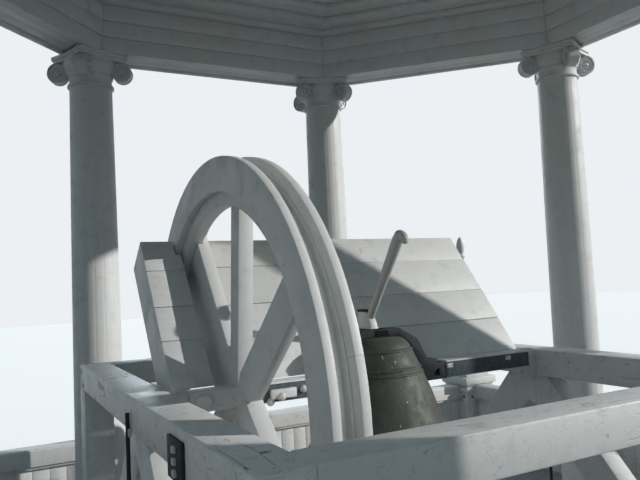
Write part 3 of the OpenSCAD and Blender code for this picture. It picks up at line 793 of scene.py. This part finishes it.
def straps():
    """Joint plates and tie rods on the bearers' outer faces."""
    iron, nuts = Form(), Form()
    face = BEARER + HALF_BEAM
    rod_foot, rod_radius = -1.232, 0.008
    for side in (-1, 1):
        near, far = sorted((side * face, side * (face + 0.012)))
        iron.block((near, -0.663, -0.124), (far, -0.513, -0.002), 0.0025)
        middle = side * (face + 0.011)
        spots = [(middle, -0.600, -0.004 - 0.12 * k) for k in (0.22, 0.5, 0.78)]
        nut = [(0, 0), (0.0135, 0), (0.0135, 0.008), (0.011, 0.0105), (0, 0.0110)]
        nut = Form().turned(nut, 4, turn_z(45))
        nuts.take(studded(spots, nut, (0, side * math.pi / 2, 0), "painted_iron"))
        levels = (rod_foot, rod_foot + 0.002, -0.050, -0.032, -0.030)
        radii = (rod_radius - 0.002,) + (rod_radius,) * 3 + (rod_radius - 0.002,)
        iron.tube([(middle, 0.065, z) for z in levels], radii, 14)
        for z, height in ((rod_foot, 0.040), (-0.118, 0.030)):
            nuts.block((near, 0.045, z), (far, 0.085, z + height), 0.003)
    fixed(iron, "joint_plates", "black_iron", "black_iron", "iron_straps")
    fixed(nuts, "joint_plate_nuts", "painted_iron", "painted_iron")


def bearings():
    """Cast bearings for the gudgeons, each with two bolt heads."""
    for name in ("bearing_left", "bearing_right"):
        side = side_of(name)
        spots = [(side * 0.879, y, -0.085) for y in (-0.022, 0.022)]
        bolt = Form().turned([(0, 0), (0.008, 0), (0.008, 0.005), (0, 0.006)], 6)
        form = softened(name, 0.003)
        form.take(studded(spots, bolt, (0, -side * math.pi / 2, 0), "painted_iron"), AT_AXLE)
        form.stand(name + "_casting", "painted_iron", "painted_iron", name, smooth=25)


# Cover behind the bell: u runs up its slope and v back from its front face
LEAN = math.radians(37.5)
COVER_FOOT = Vector((0, 0.076, FRAME_TOP))
ON_SLOPE = Matrix.Translation(COVER_FOOT) @ Matrix.Rotation(-LEAN, 4, "X")
COVER_TOP, BOARD, DEPTH, LID = 0.785, 0.025, 0.200, 0.130
COVER_END, SLOT_LEFT, SLOT_NARROW, SLOT_RIGHT = 0.910, -0.760, -0.735, -0.584


def plank(form, x0, x1, u0, u1, v0=0.0, v1=BOARD, warp=0.0):
    """One board of the cover; a board that starts at 0 stands flat on the frame."""
    part = bmesh.new()
    bmesh.ops.create_cube(part, size=1)
    for vert in part.verts:
        x = x1 if vert.co.x > 0 else x0
        v = v1 if vert.co.y > 0 else v0
        u = u1 if vert.co.z > 0 else (u0 if u0 > 0 else v * math.tan(LEAN))
        vert.co = (x, v + (warp if vert.co.x > 0 else 0), u)
    form.take(eased(part, BOARD_EASE), ON_SLOPE)


def cover(name, x0, x1, joints, warps):
    """One side of the cover: front boards with their joints, side boards, a top board and a cleat."""
    form = Form()
    side = side_of(name)
    inner = x1 if side > 0 else SLOT_LEFT
    edges = [0.0] + joints + [COVER_TOP]
    gap = 0.0013
    for low, high, warp in zip(edges, edges[1:], warps):
        start = low + gap if low else 0.0
        if side < 0:
            # The top board is notched beside the wheel
            end = SLOT_NARROW if high < COVER_TOP else SLOT_LEFT
            plank(form, x0, end, start, high - gap, warp=warp)
            if end == SLOT_LEFT:
                plank(form, end - 0.004, SLOT_NARROW, start, 0.700, v0=0.0004, v1=BOARD - 0.0004)
        elif low == 0.0:
            # The two lower boards leave room for the bell's crown and the lever
            plank(form, x0, -0.250, start, high - gap, warp=warp)
            plank(form, 0.250, x1, start, high - gap, warp=-warp)
            plank(form, -0.2505, -0.0505, 0.180, high - gap)
            plank(form, 0.0505, 0.2505, 0.180, high - gap)
        elif low < 0.300:
            plank(form, x0, -0.050, start, high - gap, warp=warp)
            plank(form, 0.050, x1, start, high - gap, warp=-warp)
            plank(form, -0.0505, 0.0505, 0.300, high - gap)
        else:
            plank(form, x0, x1, start, high - gap, warp=warp)
    for x in (x0, inner - BOARD):
        plank(form, x, x + BOARD, 0.0, 0.452, BOARD, DEPTH)
        plank(form, x, x + BOARD, 0.4535, COVER_TOP - 0.001, BOARD, DEPTH)
    plank(form, x0 + BOARD, inner - BOARD, COVER_TOP - BOARD, COVER_TOP - 0.001, BOARD, LID)
    low, high = sorted((side * 0.925, side * (COVER_END - 0.050)))
    form.block((low, 0.096, FRAME_TOP - 0.070), (high, 0.376, FRAME_TOP), 0.004)
    fixed(form, name + "_boards", "cover_boards", "painted_wood", name)


# Bell, yoke and headstock
BELL_UP, BELL_DOWN, BELL_R = 0.167, 0.350, 0.350
# Height from the mouth and radius, as shares of the bell's own
BELL_OUTLINE = [
    (0, 1), (0.023, 1), (0.068, 0.95), (0.155, 0.875), (0.30, 0.778), (0.45, 0.703), (0.58, 0.634),
    (0.66, 0.583), (0.775, 0.512), (0.86, 0.457), (0.905, 0.427), (0.948, 0.386), (0.983, 0.326), (1, 0.262)]
BEADS = (0.09, 0.705, 0.745, 0.895)
BEAD, BEAD_RISE = 0.011, 0.0045


def bell():
    """A thick lip, a long waist with raised beads, and a hollow inside."""
    high = BELL_UP + BELL_DOWN
    curve = smooth_line(BELL_OUTLINE, 5)

    def radius(s):
        for (s0, r0), (s1, r1) in zip(curve, curve[1:]):
            if s0 <= s <= s1:
                return BELL_R * (r0 + (r1 - r0) * (s - s0) / (s1 - s0))
        return BELL_R * curve[-1][1]

    steps = (-BEAD, -0.008, -0.004, 0.0, 0.004, 0.008, BEAD)
    levels = sorted({round(s, 5) for s, _ in curve} | {round(b + d, 5) for b in BEADS for d in steps})
    outside = []
    for s in levels:
        swell = max((1 - (abs(s - b) / BEAD) ** 2 for b in BEADS if abs(s - b) < BEAD), default=0)
        outside.append((min(BELL_R, radius(s) + BEAD_RISE * swell ** 0.5), s * high))
    lip = outside[0][0]
    outside = [(lip - 0.010, 0.0), (lip - 0.003, 0.001), (lip, 0.004)] + [p for p in outside if p[1] > 0.006]
    inside = [(radius(s) - 0.018 - 0.020 * (1 - s) ** 5, high * s) for s in (k / 26 for k in range(25))]
    deep = high - 0.030
    inside = [(0, deep), (radius(0.94) - 0.040, deep)] + inside[::-1] + [(inside[0][0] + 0.003, 0.0)]
    form = Form().turned(inside + outside + [(0, high)], 128, at(0, 0, -BELL_DOWN))
    swings(form, "bell_casting", "bell_bronze", "bell_bronze", "bell", smooth=50)


def yoke():
    """The arched yoke with its bolts and pads, and the cheek that the lever stands in."""
    rise, depth, end = BELL_UP + 0.035, 0.080, 0.350
    half = [(0.092, BELL_UP), (0.157, 0.114), (0.199, 0.020), (0.225, -0.051), (end, -0.051), (end, 0.025),
            (0.300, 0.025), (0.300, 0.045), (0.250, 0.045), (0.193, rise - 0.053), (0.100, rise)]
    lay = Matrix(((1, 0, 0, 0), (0, 0, 1, 0), (0, 1, 0, 0), (0, 0, 0, 1)))
    form = Form().prism(mirrored(half), -depth / 2, depth / 2, lay, 0.005)
    form.block((-0.040, -0.040, BELL_UP), (0.040, 0.125, rise), 0.004)
    head = Form().turned([(0, -0.004), (0.016, -0.004), (0.016, 0.009), (0.013, 0.012), (0, 0.012)], 6)
    spots = [(side * 0.310, -depth / 2, -0.014) for side in (-1, 1)]
    form.take(studded(spots, head, TO_FRONT, "black_iron"))
    swings(form, "yoke_casting", "black_iron", "black_iron", "yoke", smooth=25)

    z = BELL_UP + 0.030
    cheek = [(0.012, z), (0.020, z + 0.030), (0.033, z + 0.055), (0.052, z + 0.076), (0.066, z + 0.086),
             (0.125, z + 0.086), (0.125, z)]
    form = Form().prism(smooth_line(cheek[:5], 3) + cheek[5:], -0.018, 0.018, UPRIGHT, 0.004)
    form.block((-0.023, 0.014, z - 0.004), (0.023, 0.130, z + 0.012), 0.003)
    swings(form, "lever_cheek", "painted_iron", "painted_iron")
    cap = Form().block((-0.0195, 0.050, z + 0.080), (0.0195, 0.127, z + 0.092), 0.003)
    swings(cap, "lever_cheek_cap", "black_iron", "black_iron")


def headstock(place):
    """Half of the timber headstock, from the yoke's pad to its iron gudgeon."""
    side = side_of(place)
    inner, outer, tip = 0.350, 0.873, 0.919
    half, middle = 0.042, -0.009
    low, high = sorted((side * inner, side * outer))
    wood = Form().block((low, -half, middle - 0.040), (high, half, middle + 0.040), 0.005)
    iron = Form()
    lay = Matrix.Rotation(side * math.pi / 2, 4, "Y")
    gudgeon = [(0, outer - 0.03), (0.022, outer - 0.03), (0.022, tip - 0.002), (0.020, tip), (0, tip)]
    collar = [(0, outer - 0.004), (0.034, outer - 0.004), (0.036, outer), (0.036, outer + 0.002),
              (0.034, outer + 0.004), (0, outer + 0.004)]
    iron.turned(gudgeon, 32, lay)
    iron.turned(collar, 32, lay)
    plate = (0.352, 0.600) if side < 0 else (0.352, outer - 0.006)
    low, high = sorted(side * x for x in plate)
    # A dark plate over the headstock's front face: partly an iron plate, partly painted shade for the shade
    # under the cover.
    plate_and_shade = Form().block((low, -half - 0.0045, middle - 0.036), (high, -half + 0.003, middle + 0.033), 0.002)
    if side < 0:
        wood.block((-0.548, -half - 0.022, -0.034), (-0.437, -half + 0.004, 0.004), 0.004)
        boss = [(0, -0.002), (0.035, -0.002), (0.035, 0.019), (0.030, 0.025), (0.022, 0.026), (0, 0.0262)]
        wood.turned(boss, 36, at(-0.826, -half, middle - 0.006) @ FORWARD)
        spots = [(-0.506, -half - 0.021, -0.026), (-0.546, -half, -0.044), (-0.400, -half, middle)]
        head = Form().turned([(0, -0.004), (0.017, -0.004), (0.017, 0.004), (0.013, 0.013), (0.006, 0.017),
                              (0, 0.018)], 18)
        iron.take(studded(spots, head, TO_FRONT, "painted_iron"))
    else:
        for x, z in ((0.3675, 0.018), (0.730, 0.018)):
            iron.block((x - 0.0175, -half - 0.005, z - 0.022), (x + 0.0175, -half + 0.002, z), 0.002)
    swings(wood, f"headstock_{place}", "white_x", "frame_timber", f"axle_{place}")
    swings(iron, f"headstock_iron_{place}", "painted_iron", "painted_iron", smooth=28)
    swings(plate_and_shade, f"headstock_plate_{place}", "worn_iron", "black_iron")


def clapper():
    """A straight shank with a round ball, hung from the bell's crown."""
    drop, ball, shank = BELL_DOWN - 0.080, 0.0548, 0.0165
    turns = (-1.57 + 3.0 * k / 14 for k in range(1, 15))
    sphere = [(ball * math.cos(a), -drop + ball * math.sin(a)) for a in turns]
    profile = [(0, -drop - ball)] + [p for p in sphere if p[0] > shank]
    profile += [(shank, -drop + 0.070), (shank, 0.10), (0.026, 0.112), (0.026, 0.130), (0, 0.136)]
    swings(Form().turned(profile, 32), "clapper_iron", "black_iron", "black_iron", "clapper")


def lever():
    """Ash lever that tapers towards its foot and ends in a bent, hooked grip."""
    lean = math.radians(36.8)
    foot = Vector((0, 0.044, BELL_UP + 0.089))
    along = Vector((0, -math.sin(lean), math.cos(lean)))
    ahead = Vector((0, -math.cos(lean), -math.sin(lean)))
    shaft = [(0.0, 0.0190), (0.05, 0.0185), (0.12, 0.0190), (0.20, 0.0205), (0.28, 0.0225), (0.36, 0.0245),
             (0.415, 0.0255)]
    path = [foot + along * s for s, _ in shaft]
    radii = [r for _, r in shaft]
    bend = 0.025
    centre = foot + along * 0.421 + ahead * bend
    for k in range(1, 9):
        a = math.radians(180 - 16 * k)
        path.append(centre + ahead * bend * math.cos(a) + along * bend * math.sin(a))
        radii.append(0.0252 - 0.0008 * k)
    tip = path[-1]
    path += [tip + ahead * 0.008 - along * 0.006, tip + ahead * 0.011 - along * 0.013]
    radii += [0.0150, 0.0100]
    form = Form().tube(path, radii, 20)
    knob = 0.027
    side = [(knob * math.cos(a), knob * math.sin(a)) for a in (-1.1, -0.7, -0.3, 0.1, 0.5, 0.9, 1.2)]
    form.turned([(0, -knob)] + side + [(0, knob)], 20, at(*foot + along * 0.436 + ahead * 0.006))
    swings(form, "lever_handle", "lever_ash", "painted_wood", "lever", smooth=60)


# Bell wheel: an X from the wheel's middle plane and a radius
WHEEL_X = -0.690
WHEEL_R = 0.935
BAND_INNER = WHEEL_R - 0.190
FLANGE_INNER = WHEEL_R - 0.137


def arc_board(profile, degrees):
    """Part of a ring about X: a profile of (radius, x) carried around, with a fine gap at its ends."""
    steps, joint = 10, 0.0004
    rings = []
    for k in range(steps + 1):
        ring = []
        for r, x in profile:
            slack = joint / r
            a = slack + (math.radians(degrees) - 2 * slack) * k / steps
            ring.append((x, r * math.sin(a), r * math.cos(a)))
        rings.append(ring)
    part = skinned(rings)
    part.faces.ensure_lookup_table()
    butted = [edge for face in part.faces[-2:] for edge in face.edges]
    return Form().take(eased(part, BOARD_EASE, leave=butted))


def wheel_rim():
    """Two flanges on a sole with a bead and an inner band, nailed through the flanges."""
    half, flange, groove, band = 0.063, 0.030, 0.045, 0.030
    sole, bed = half - flange, WHEEL_R - groove
    outer, inner = WHEEL_R - 0.001, BAND_INNER + 0.001
    bead = [(bed - 0.008, 0.006 - sole), (bed - 0.008, -0.014), (bed - 0.004, -0.010), (bed - 0.001, -0.004),
            (bed - 0.001, 0.004), (bed - 0.004, 0.010), (bed - 0.008, 0.014), (bed - 0.008, sole - 0.006)]
    # Each ring of eight boards: its profile and where its first joint lies
    boards = (
        ([(FLANGE_INNER, -half), (outer, -half), (outer, -sole), (FLANGE_INNER, -sole)], 9.0),
        ([(FLANGE_INNER, sole), (outer, sole), (outer, half), (FLANGE_INNER, half)], 31.5),
        ([(inner, -sole + 0.0005), (bed - 0.012, -sole + 0.0005), (bed, -sole + 0.0015)] + bead
         + [(bed, sole - 0.0015), (bed - 0.012, sole - 0.0005), (FLANGE_INNER - 0.002, sole - 0.0005),
            (inner, band)], 20.0),
    )
    form = Form()
    for profile, first in boards:
        form.take(around(arc_board(profile, 45), "white_trim", 8, first, (1, 0, 0), (WHEEL_X, 0, 0)))
    nail = Form().turned([(0, -0.003), (0.006, -0.003), (0.005, 0.0012), (0, 0.0018)], 10)
    spots = []
    for k in range(16):
        a = math.radians(9 + 22.5 * k + (4 if k % 2 else -4))
        spots += [(WHEEL_X - half, r * math.sin(a), r * math.cos(a)) for r in (0.830, 0.905)]
    form.take(studded(spots, nail, (0, -math.pi / 2, 0), "white_trim"))
    swings(form, "wheel_rim_boards", "white_trim", "painted_wood", "wheel_rim")


# Spokes: degrees from upright towards the back, the offsets of both sides, and the faces' places
SPOKES = (
    (-7.2, -0.041, 0.045, -0.6840, -0.621), (172.8, -0.045, 0.041, -0.6835, -0.621),
    (38.4, -0.074, 0.190, -0.6845, -0.629), (228.0, -0.078, 0.072, -0.6842, -0.612),
    (129.5, -0.075, 0.075, -0.6848, -0.629),
)
BAND_BACK = -0.6573


def spoke_outline(low, high, start, reach):
    """A board seen along the axle, with a straight foot or a given one, and its far end on a circle."""
    ends = [(low + (high - low) * k / 6) for k in range(7)]
    foot = start if isinstance(start, list) else [(high, start), (low, start)]
    return foot + [(side, math.sqrt(reach * reach - side * side)) for side in ends]


def wheel_spokes():
    """Slanting spokes of different widths, each lapped behind the rim's inner band."""
    reach = BAND_INNER - 0.0008
    deep = FLANGE_INNER - 0.0010
    form = Form()
    for degrees, low, high, front, back in SPOKES:
        place = Matrix.Rotation(-math.radians(degrees), 4, "X") @ UPRIGHT
        form.prism(spoke_outline(low, high, -0.030, reach), front, back, place, 0.004)
        lap = spoke_outline(low + 0.001, high - 0.001, 0.700, deep)
        form.prism(lap, BAND_BACK, back - 0.0006, place, 0.003)
    # The broad spoke lies in front of the others and ends beside the hub in a rounded foot
    place = Matrix.Rotation(math.radians(50.5), 4, "X") @ UPRIGHT
    foot = smooth_line([(0.017, 0.125), (0.006, 0.096), (-0.027, 0.082), (-0.063, 0.085), (-0.100, 0.104),
                        (-0.127, 0.150)], 3)
    form.prism(spoke_outline(-0.127, 0.017, foot, reach), -0.6880, -0.642, place, 0.005)
    form.prism(spoke_outline(-0.126, 0.016, 0.700, deep), BAND_BACK, -0.6430, place, 0.003)
    swings(form, "wheel_spoke_boards", "white_trim", "painted_wood", "wheel_spokes")


deck()
for quarter, side_name in enumerate(("back", "left", "front", "right")):
    parapet("parapet_" + side_name, 90 * quarter)
for corner_number in range(1, 5):
    pedestal(corner_number)
urns()
columns()
capitals()
entablature()
roof()
timbers()
straps()
bearings()
cover("cover_left", -COVER_END, SLOT_NARROW, [0.231, 0.405, 0.607], (0.0, 0.002, -0.001, 0.001))
cover("cover_right", SLOT_RIGHT, COVER_END, [0.200, 0.394, 0.615], (0.0, 0.003, -0.001, 0.002))
softened("cover_rail", 0.004).stand("cover_rail_timber", "white_y", "painted_wood", "cover_rail")
bell()
yoke()
headstock("left")
headstock("right")
clapper()
lever()
wheel_rim()
wheel_spokes()


# Floor, lights and backdrop
BACKDROP, SKY = (0.84, 0.87, 0.90), (0.56, 0.83, 1.0)
FLOOR_SEEN, FLOOR_BOUNCE = (0.77, 0.76, 0.75), (0.17, 0.185, 0.19)
FLOOR_GLOW, GLOW_STRENGTH = (0.88, 0.87, 0.86), 0.38


def rays_that_see(net):
    """1 for camera, glossy and transmission rays, 0 for the rays that only carry light."""
    rays = net.tree.nodes.new("ShaderNodeLightPath").outputs
    seen = rays["Is Camera Ray"]
    for kind in ("Is Glossy Ray", "Is Transmission Ray"):
        seen = net.maths("MAXIMUM", seen, rays[kind])
    return seen


def sun(name, strength, colour, toward, spread):
    """A distant lamp that shines from the direction toward; spread in degrees softens its shadows."""
    data = bpy.data.lights.new(name, "SUN")
    data.energy = strength
    data.color = colour
    data.angle = math.radians(spread)
    obj = bpy.data.objects.new(name, data)
    obj.rotation_euler = Vector(toward).to_track_quat("Z", "Y").to_euler()
    bpy.context.collection.objects.link(obj)


def floor_and_light():
    bpy.ops.mesh.primitive_plane_add(size=80)
    floor = bpy.context.object
    floor.name = "floor"
    m = Shader("floor")
    seen = rays_that_see(m)
    m.feed(m.surface["Emission Color"], FLOOR_GLOW)
    m.feed(m.surface["Emission Strength"], m.times(seen, GLOW_STRENGTH))
    floor.data.materials.append(m.finish(m.mix(seen, FLOOR_BOUNCE, FLOOR_SEEN), 0.9))

    # The key's direction follows the shadows in the photograph
    sun("key", 3.25, (1.0, 0.98, 0.95), (0.8051, -0.4799, 0.3486), 0.9)
    sun("fill", 0.24, (0.68, 0.89, 1.0), (0.35, -0.80, 0.45), 100)
    sun("back_fill", 0.60, (0.80, 0.92, 1.0), (0.22, 0.94, 0.26), 24)

    # The sky is dimmer towards the ground; rays that see it see the plain backdrop
    world = bpy.data.worlds.new("world")
    bpy.context.scene.world = world
    world.use_nodes = True
    net = Net(world.node_tree)
    place = net.node("ShaderNodeTexCoord", out="Generated")
    height = net.node("ShaderNodeSeparateXYZ", out="Z", Vector=place)
    sky = net.tree.nodes["Background"]
    net.feed(sky.inputs["Color"], SKY)
    net.feed(sky.inputs["Strength"], net.node(
        "ShaderNodeMapRange", Value=height, From_Min=-0.2, From_Max=0.7, To_Min=0.05, To_Max=0.33))
    pale = net.node("ShaderNodeBackground", Color=BACKDROP)
    mixed = net.node("ShaderNodeMixShader", i0=rays_that_see(net), i1=sky.outputs[0], i2=pale)
    net.feed(net.tree.nodes["World Output"].inputs["Surface"], mixed)


floor_and_light()

bpy.context.scene.view_settings.view_transform = "Standard"
